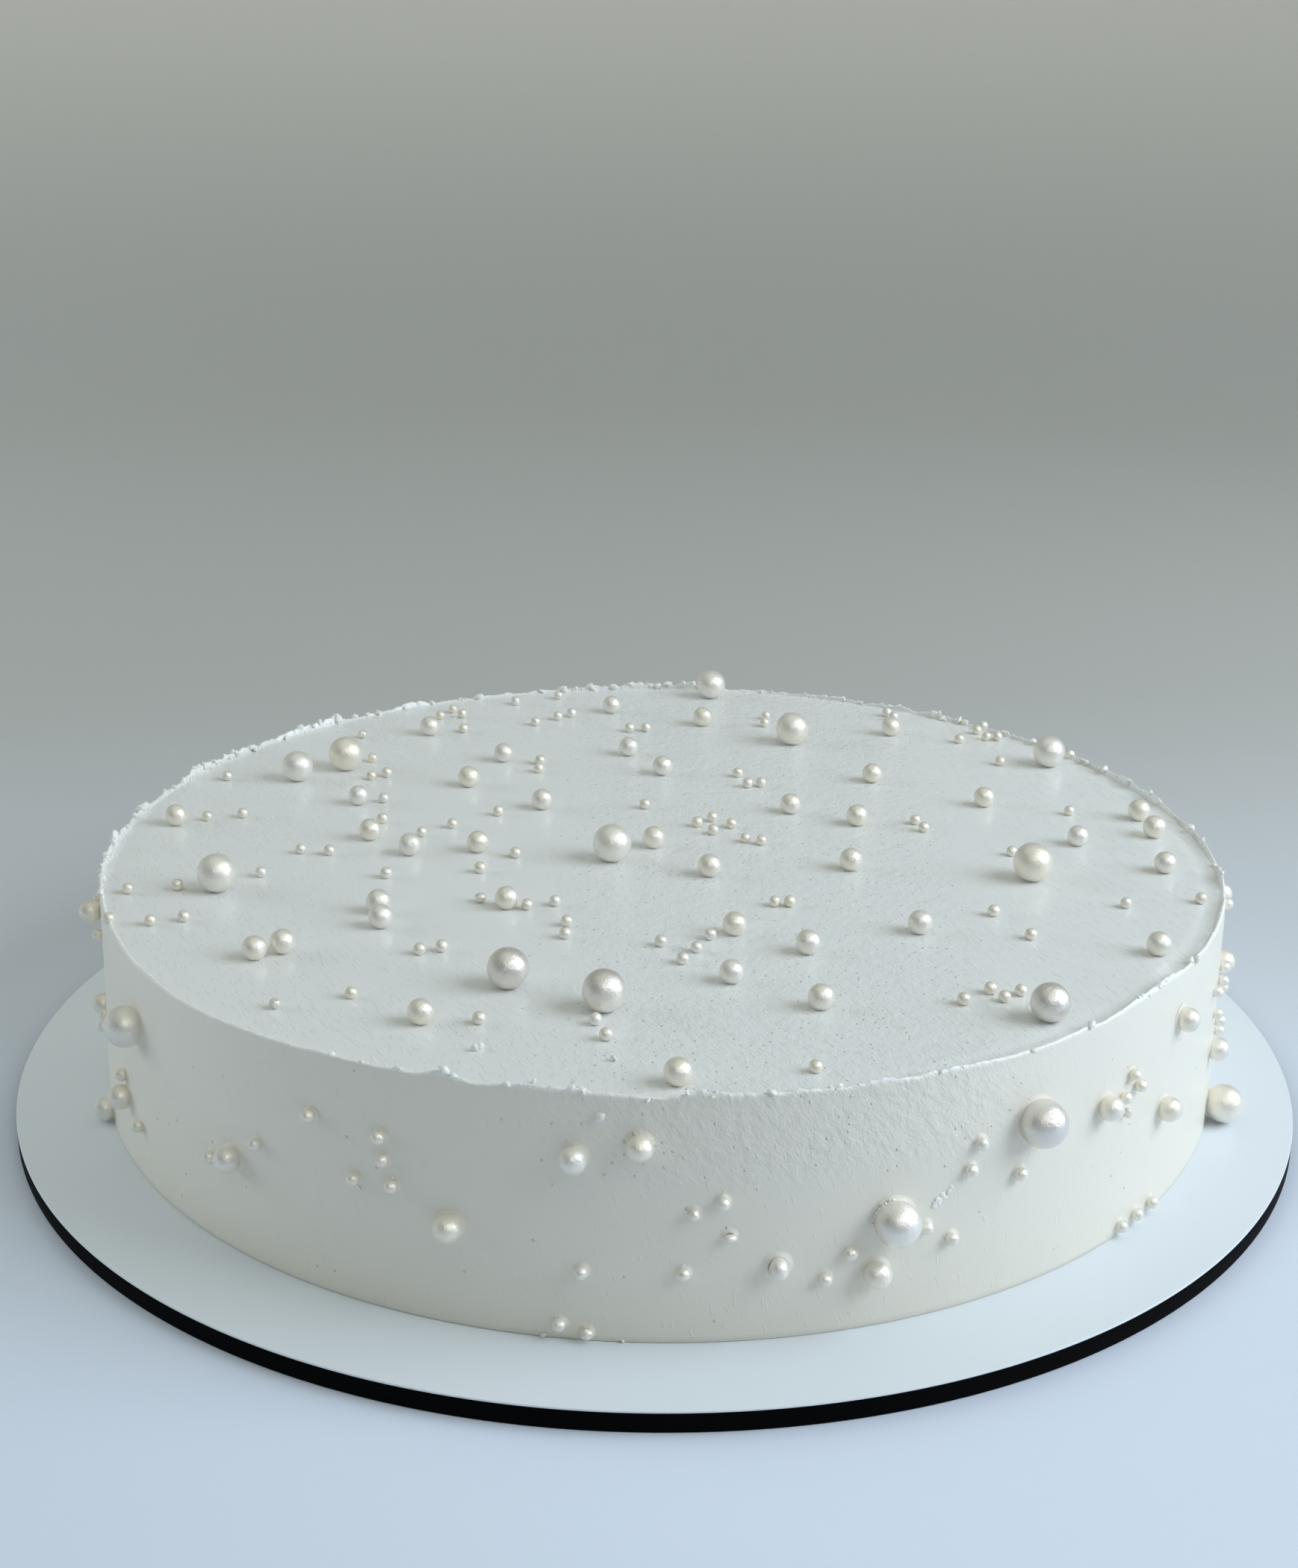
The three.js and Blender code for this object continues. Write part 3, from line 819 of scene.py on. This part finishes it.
pattern = bmesh.new()
line = [pattern.verts.new((1 + out, 0, rise)) for out, rise in COLLAR_RISES]
edges = [pattern.edges.new(pair) for pair in zip(line, line[1:])]
bmesh.ops.spin(pattern, geom=line + edges, cent=(0, 0, 0), axis=(0, 0, 1), angle=math.tau,
               steps=COLLAR_STEPS, use_merge=True)
bmesh.ops.recalc_face_normals(pattern, faces=pattern.faces)
if sum(face.normal.z for face in pattern.faces) < 0:
    bmesh.ops.reverse_faces(pattern, faces=pattern.faces)
pattern = in_order(pattern)
pattern_mesh = bpy.data.meshes.new("collar_pattern")
pattern.to_mesh(pattern_mesh)
pattern.free()
print("faces of a collar:", len(pattern_mesh.polygons))

# %% [markdown]
# A copy of the ring goes round every pearl of the wall, scaled to the circle in which the pearl cuts the
# cream. That circle could be worked out from the plain cone, but the wall wanders off it. So a ray is shot
# at the finished cream, and the collar lies on what it hits. Noise makes the collar higher on one side.

# %% Make the collars of cream round the pearls of the wall
COLLAR_SHARE = 0.6
COLLAR_MOST = 1.4 * MM
COLLAR_UNEVEN = [(1.3, 0.8), (5, 0.4)]
COLLAR_SEED = 991
BELOW_TOP = 2 * MM
RAY_START = 30 * MM
MOST_PROUD = 0.96

cream_tree = BVHTree.FromObject(cream_piece, bpy.context.evaluated_depsgraph_get())
wall_pearls = [
    (middle, radius) for middle, radius in [*large_pearls.values(), *medium_pearls, *small_pearls]
    if middle.z < base + CAKE_HEIGHT - BELOW_TOP
]


def wall_circle(middle, radius):
    """Where a pearl's level axis meets the wall, and the radius of the circle that it cuts there, or None."""
    outward = outward_at(middle)
    hit = cream_tree.ray_cast(middle + outward * RAY_START, -outward)[0]
    proud = (middle - hit).dot(outward)
    if abs(proud) > radius * MOST_PROUD:
        return None
    return hit, math.sqrt(radius ** 2 - proud ** 2)


collars = bmesh.new()
for middle, radius in wall_pearls:
    circle = wall_circle(middle, radius)
    if circle is None:
        continue
    hit, waist = circle
    turn = outward_at(middle).to_track_quat("Z", "Y").to_matrix()
    reach = min(radius * COLLAR_SHARE, COLLAR_MOST)
    for corner in stamped(collars, pattern_mesh):
        way = corner.co.xy.normalized().to_3d()
        uneven = 1.0
        for fineness, depth in COLLAR_UNEVEN:
            uneven += depth * noise.noise(way * fineness + middle * COLLAR_SEED)
        out = waist + (corner.co.xy.length - 1) * reach
        corner.co = hit + turn @ (way * out + Vector((0, 0, corner.co.z * reach * uneven)))
piece_from(collars, "cream_collars", cream, ["cake"])
print("pearls of the wall:", len(wall_pearls))

# %% [markdown]
# Torn bits of cream lie on the lip and elsewhere. A bit of cream could be cut from a block, but it is so
# small that a ball with few faces, squeezed flat and crumpled by noise, looks the same.

# %% A crumb to copy
CRUMPLE, FINE_SHARE = 0.55, 0.6
CRUMB_SEED = 1409
crumb_pattern = ball_pattern(2)


def add_crumb(shape, middle, sizes, turn):
    """Adds a ball squeezed to three half sizes, crumpled by noise and turned."""
    seed = middle * CRUMB_SEED
    for corner in stamped(shape, crumb_pattern):
        way = corner.co.normalized()
        swell = 1 + CRUMPLE * (noise.noise(way * 1.4 + seed) + FINE_SHARE * noise.noise(way * 3.1 + seed))
        corner.co = middle + turn @ Vector(way[i] * sizes[i] * swell for i in range(3))


print("faces of a crumb:", len(crumb_pattern.polygons))

# %% [markdown]
# The lip carries flakes, more of them where the solid's lip stands high, and larger where the lip is wide.
# They could be placed by hand, but there are hundreds, so a draw places them. It is seeded, so that every
# run gives the same cake. Slow noise round the rim leaves some stretches bare, and a ray from above finds
# the crest.

# %% Strew flakes along the lip
FLAKE_SEED = 41
FLAKE_TRIES = 2000
FLAKE_LONG = (0.5 * MM, 3.4 * MM)
FLAKE_MOSTLY_SHORT = 2.5
FLAKE_FLAT = (0.4, 0.75)
FLAKE_INSETS = (-0.1 * MM, 1.1 * MM)
FLAKE_AIM, FLAKE_TILT = 0.6, 0.5
FLAKE_RAISED = 0.2
# Flakes take half of the crest's painted highlight.
FLAKE_PAINTED_HIGHLIGHT = 0.5
FLAKE_LIFTS = (1.2 * MM, 3.0 * MM)
CHANCE_LEAST, CHANCE_BY_LIFT, CHANCE_BY_WIDTH = 0.1, 0.45, 0.25
PATCH_DEPTH, PATCH_TURN = 1.8, 4


def on_rim(bearing, inset):
    """The point on top of the cream at a bearing and a distance in from the plain rim."""
    out = RIM_RADIUS + np.interp(bearing, *neck_offsets) - inset
    return cream_tree.ray_cast(at_bearing(bearing, out, CAKE_HEIGHT + RAY_START), Vector((0, 0, -1)))[0]


draw = random.Random(FLAKE_SEED)
flakes = bmesh.new()
flake_count = 0
for _ in range(FLAKE_TRIES):
    bearing = draw.uniform(-180, 180)
    wide = from_table(bearing, WIDE)
    lift = np.interp(bearing, *crest_heights)
    patchy = max(0.0, 1 + PATCH_DEPTH * noise.noise(Vector((bearing / PATCH_TURN, 0, 0))))
    chance = from_table(bearing, RAGGED) * (CHANCE_LEAST + CHANCE_BY_LIFT * smooth(lift, *FLAKE_LIFTS))
    chance += CHANCE_BY_WIDTH * (wide - 1)
    inset = draw.uniform(*FLAKE_INSETS) * wide
    size = draw.random() ** FLAKE_MOSTLY_SHORT
    long = (FLAKE_LONG[0] + (FLAKE_LONG[1] - FLAKE_LONG[0]) * size) * math.sqrt(wide)
    flat, height = draw.uniform(*FLAKE_FLAT), draw.uniform(*FLAKE_FLAT)
    aim = Matrix.Rotation(math.radians(bearing) + draw.gauss(0, FLAKE_AIM), 3, "Z")
    tilt = Matrix.Rotation(draw.gauss(0, FLAKE_TILT), 3, "Y")
    place = on_rim(bearing, inset)
    if draw.random() > chance * patchy or place is None:
        continue
    sizes = (long / 2, long / 2 * flat, long / 2 * height)
    add_crumb(flakes, place + Vector((0, 0, sizes[2] * FLAKE_RAISED)), sizes, aim @ tilt)
    flake_count += 1
# The flakes are marked for their share of the painted highlight.
mark_thin(piece_from(flakes, "cream_flakes", cream, ["cake"]), FLAKE_PAINTED_HIGHLIGHT)
print("flakes:", flake_count)

# %% [markdown]
# A few crumbs lie elsewhere: bits of cream on some small pearls, a short scar of flakes on the wall,
# fragments on the top and at the foot, and a torn rim at the upper left of one large pearl. The first
# three kinds are so few that their places are listed. The torn rim is a row of crumbs along the
# pearl's own circle.

# %% Where the single crumbs lie
SCAR = [
    (23.3, 31.2), (23.7, 31.9), (23.6, 32.8), (24.2, 33.1),
    (24.0, 34.0), (24.6, 34.4), (24.9, 35.4), (23.4, 32.2),
]
WALL_CRUMBS = [
    (1.9, 22.0, 0.8), (1.4, 21.6, 0.6), (9.6, 23.9, 0.8), (-22.7, 37.9, 0.8),
    (-26, 33, 0.9), (47.9, 41.9, 0.7), (46.6, 40.6, 1.0), (46.1, 39.2, 0.8),
    (-9.6, 0.6, 1.2), (-3.0, 0.5, 1.0), (5, 41.7, 0.8), (45.9, 37.0, 0.9),
]
TOP_CRUMBS = [
    (-47, -147, 1.8), (-12, -152, 1.4), (-31, -164, 0.8),
    (-26, -168, 0.8), (-45.5, -146, 1.2), (-101, -121, 1.1),
]
SCAR_SIZE, SCAR_TALL, CRUMB_TALL, UPRIGHT = 1.7, 0.5, 0.7, 1.5
TORN_PEARL = on_wall_at(19.5, 30)
TORN_ANGLES = range(95, 200, 11)
TORN_SIZE, TORN_OUT, TORN_PROUD = 1.1, 0.35 * MM, 0.5 * MM

spots = [(on_wall_at(*place), SCAR_SIZE, SCAR_TALL) for place in SCAR]
spots += [(on_wall_at(bearing, height), size, CRUMB_TALL) for bearing, height, size in WALL_CRUMBS]
spots += [(on_top_at(x, y), size, UPRIGHT) for x, y, size in TOP_CRUMBS]
torn_middle, torn_radius = min(large_pearls.values(), key=lambda ball: (ball[0] - TORN_PEARL).length)
torn_hit, torn_waist = wall_circle(torn_middle, torn_radius)
torn_turn = outward_at(torn_middle).to_track_quat("Z", "Y").to_matrix()
for angle in TORN_ANGLES:
    turn = math.radians(angle)
    way = torn_turn @ Vector((math.cos(turn), math.sin(turn), 0))
    place = torn_hit + way * (torn_waist + TORN_OUT) + outward_at(torn_middle) * TORN_PROUD
    spots.append((place, TORN_SIZE, CRUMB_TALL))
print("single crumbs:", len(spots))

# %% [markdown]
# Each crumb stands on its spot, sunk a little into the cream, and is turned at random about the way that
# the surface faces.

# %% Place the single crumbs
CRUMB_SPREAD = (0.8, 1.2)
CRUMB_LONG, CRUMB_NARROW, CRUMB_SUNK = 1.3, 0.8, 0.4
# Crumbs take most of the crest's painted highlight.
CRUMB_PAINTED_HIGHLIGHT = 0.7

crumbs = bmesh.new()
for place, size, tall in spots:
    lift = outward_at(place) if place.z < base + CAKE_HEIGHT - WELD else Vector((0, 0, 1))
    half = size * draw.uniform(*CRUMB_SPREAD) * MM / 2
    aim = lift.to_track_quat("Z", "Y").to_matrix() @ Matrix.Rotation(draw.uniform(0, math.tau), 3, "Z")
    sizes = (half * CRUMB_LONG, half * CRUMB_NARROW, half * tall)
    add_crumb(crumbs, place + lift * half * (tall - CRUMB_SUNK), sizes, aim)
# The crumbs are marked for their share of the painted highlight.
mark_thin(piece_from(crumbs, "cream_crumbs", cream, ["cake"]), CRUMB_PAINTED_HIGHLIGHT)

# %% [markdown]
# The board is pressed fibre with a white face and a black painted edge. Both discs are spun from an
# outline whose corners are already rounded, which is lighter than a bevel and just as smooth.

# %% Make the board
BOARD_SLICE_STEPS = 38
BOARD_DOUBLINGS = 3
EDGE_ROUND = 0.35 * MM
CORE_TOP_ROUND = 0.1 * MM
FACE_LOW_ROUND, FACE_TOP_ROUND = 0.05 * MM, 0.3 * MM
ROUND_STEPS = 3
BOARD_WHITE = (0.80, 0.845, 0.885, 1)
BOARD_BLACK = (0.0015, 0.0015, 0.0015, 1)
BOARD_GRAIN, GRAIN_STRENGTH = 900, 0.3


def disc_outline(radius, low, high, round_low, round_high):
    """A disc's outline with its two edges rounded."""
    rows = [(0.0, low), (radius - round_low, low)]
    for step in range(1, ROUND_STEPS + 1):
        turn = math.pi / 2 * step / ROUND_STEPS
        rows.append((radius - round_low * (1 - math.sin(turn)), low + round_low * (1 - math.cos(turn))))
    for step in range(ROUND_STEPS + 1):
        turn = math.pi / 2 * step / ROUND_STEPS
        rows.append((radius - round_high * (1 - math.cos(turn)), high - round_high * (1 - math.sin(turn))))
    rows.append((0.0, high))
    return rows


def board_finish(name, colour, roughness, shine, grain_depth):
    """A plain coat with a faint grain."""
    finish = Finish(name)
    grain = finish.noise(BOARD_GRAIN, detail=3)
    return finish.surface(
        Base_Color=colour,
        Roughness=roughness,
        Specular_IOR_Level=shine,
        Normal=finish.bump(grain, grain_depth, GRAIN_STRENGTH),
    )


core_low, core_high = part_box("board_core")
face_low, face_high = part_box("board_face")
board_radius = (core_high.x - core_low.x) / 2
core_outline = disc_outline(board_radius, core_low.z, core_high.z, EDGE_ROUND, CORE_TOP_ROUND)
face_outline = disc_outline(board_radius, face_low.z, face_high.z, FACE_LOW_ROUND, FACE_TOP_ROUND)
core = spun(core_outline, BOARD_SLICE_STEPS, BOARD_DOUBLINGS)
face = spun(face_outline, BOARD_SLICE_STEPS, BOARD_DOUBLINGS)
edge_black = board_finish("board_edge", BOARD_BLACK, roughness=0.6, shine=0.03, grain_depth=0.05 * MM)
face_white = board_finish("board_face", BOARD_WHITE, roughness=0.33, shine=0.5, grain_depth=0.01 * MM)
piece_from(core, "board_black_core", edge_black, ["board_core"])
piece_from(face, "board_white_face", face_white, ["board_face"])

# %% [markdown]
# The stage is a plain pale floor that curves up far behind and all round, as in a studio, so no horizon
# cuts the picture. It is spun like the board. Its colour turns a little darker and warmer behind the cake.
# The wall on the viewer's side is grey, like a dim room, or it would light up the shaded side of the cake.
# The floor isn't part of the cake, so the frame is told so.

# %% Floor
FLOOR = (0.76, 0.83, 0.96)
BEHIND = (0.52, 0.525, 0.51)
BACKDROP = (0.96, 0.91, 0.83)
DIM_ROOM = (0.38, 0.36, 0.33)
FLOOR_FLAT = 1.3
FLOOR_CURVE = 0.9
FLOOR_WALL = 0.4
FLOOR_RINGS = (0.0, 0.4, 0.9)
CURVE_STEPS = 12
FLOOR_SLICE_STEPS = 12
FLOOR_DOUBLINGS = 3
DARKER_BEHIND = (-0.25, 0.45)
LIGHTER_BEHIND = (-0.8, 0.2)
WALL_RISE = (0.0, 0.5)


def floor_outline():
    """Flat from the axis out, then a quarter circle up, then a plain wall."""
    rows = [(radius, 0.0) for radius in FLOOR_RINGS]
    for step in range(CURVE_STEPS + 1):
        turn = math.pi / 2 * step / CURVE_STEPS
        rows.append((FLOOR_FLAT + FLOOR_CURVE * math.sin(turn), FLOOR_CURVE * (1 - math.cos(turn))))
    rows.append((FLOOR_FLAT + FLOOR_CURVE, FLOOR_CURVE + FLOOR_WALL))
    return rows


def floor_finish():
    """A matt colour that changes with the depth and the height of the room."""
    finish = Finish("floor")
    where = finish.place()
    depth = finish.part(where, "Y")
    ground = finish.blend(finish.between(depth, *DARKER_BEHIND), FLOOR, BEHIND)
    wall = finish.blend(finish.between(depth, *LIGHTER_BEHIND), DIM_ROOM, BACKDROP)
    rise = finish.between(finish.part(where, "Z"), *WALL_RISE)
    return finish.surface(Base_Color=finish.blend(rise, ground, wall), Roughness=0.7)


floor_shape = spun(floor_outline(), FLOOR_SLICE_STEPS, FLOOR_DOUBLINGS)
floor_mesh = bpy.data.meshes.new("floor")
floor_shape.to_mesh(floor_mesh)
floor_shape.free()
for polygon in floor_mesh.polygons:
    polygon.use_smooth = True
floor = bpy.data.objects.new("floor", floor_mesh)
floor.data.materials.append(floor_finish())
bpy.context.scene.collection.objects.link(floor)
floor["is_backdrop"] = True
print("floor faces:", len(floor_mesh.polygons))

# %% [markdown]
# The light is that of one large soft window to the right and a weaker one to the left, in a room that is
# pale overhead and dark towards the walls. The two windows are area lights, for long soft shadows, and the
# room is the world, a blend of two plain colours by height. The pearls also mirror a pale panel in front,
# which lights nothing, because the wall on that side is in the shade. The window on the left isn't
# mirrored.

# %% Lights and world
LIT_PLACE = Vector((0, 0, 0.05))
OVERHEAD = (0.62, 0.66, 0.59)
LEVEL = (0.02, 0.02, 0.02)
OVERHEAD_RISE = (0.45, 1.0)


def add_window(name, place, sides, power, colour, mirrored=True, lit=True):
    """Adds an area light that looks at the cake, for its reflections, for what it lights, or for both."""
    light = bpy.data.lights.new(name, "AREA")
    light.shape = "RECTANGLE"
    light.size, light.size_y = sides
    light.energy, light.color = power, colour
    lamp = bpy.data.objects.new(name, light)
    lamp.location = place
    lamp.rotation_mode = "QUATERNION"
    lamp.rotation_quaternion = (LIT_PLACE - Vector(place)).to_track_quat("-Z", "Y")
    lamp.visible_glossy, lamp.visible_diffuse = mirrored, lit
    bpy.context.scene.collection.objects.link(lamp)


def room_world():
    """The room's light: one colour overhead, another at eye level."""
    room = Finish("room", bpy.data.worlds.new("room"))
    direction = room.node("ShaderNodeTexCoord", output="Generated")
    glow = room.blend(room.between(room.part(direction, "Z"), *OVERHEAD_RISE), LEVEL, OVERHEAD)
    return room.ended(room.node("ShaderNodeBackground", inputs={"Color": glow}), "ShaderNodeOutputWorld")


add_window("window_right", (1.2, -0.27, 0.82), (1.06, 0.98), 17, (0.775, 0.88, 1.0))
add_window("window_left", (-1.7, 0.35, 0.6), (1.2, 0.9), 9.4, (0.79, 0.90, 1.0), mirrored=False)
add_window("panel_front", (0.3, -1.35, 1.2), (1.0, 0.7), 5.0, (1.0, 0.99, 0.97), lit=False)
bpy.context.scene.world = room_world()
bpy.context.scene.view_settings.view_transform = "Standard"

# %% [markdown]
# The camera stands low in front of the cake and looks down at it by 19 degrees, a little rolled. Its place
# could be found by trial. It was worked out from the round outlines of the board and of the cake instead,
# which turn into ellipses in the photo.

# %% Camera
CAMERA_PLACE = Vector((-2.5, -627.0, 311.5)) * MM
CAMERA_DOWN = math.radians(19.13)
CAMERA_ROLL = math.radians(0.47)
CAMERA_LENS = 48.81

lens = bpy.data.cameras.new("camera")
lens.sensor_width = 36
lens.lens = CAMERA_LENS
lens.clip_start, lens.clip_end = 0.01, 50
camera = bpy.data.objects.new("camera", lens)
ahead = Vector((0, math.cos(CAMERA_DOWN), -math.sin(CAMERA_DOWN)))
side = Vector((1, 0, 0))
above = side.cross(ahead)
right = side * math.cos(CAMERA_ROLL) + above * math.sin(CAMERA_ROLL)
up = above * math.cos(CAMERA_ROLL) - side * math.sin(CAMERA_ROLL)
turned = Matrix((right, up, -ahead)).transposed()
camera.matrix_world = Matrix.Translation(CAMERA_PLACE) @ turned.to_4x4()
bpy.context.scene.collection.objects.link(camera)
bpy.context.scene.camera = camera
print("camera at mm:", [round(n / MM, 1) for n in camera.location])

# %% [markdown]
# Last, the sizes of the solids and of what is shown are put side by side, and the size of what is shown is
# printed.

# %% Sizes and finish
seen_low, seen_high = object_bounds()
sizes = {"cad": [list(cad_low), list(cad_high)], "visual": [list(seen_low), list(seen_high)]}
print("visual size in mm:", [round(n / MM, 1) for n in seen_high - seen_low])
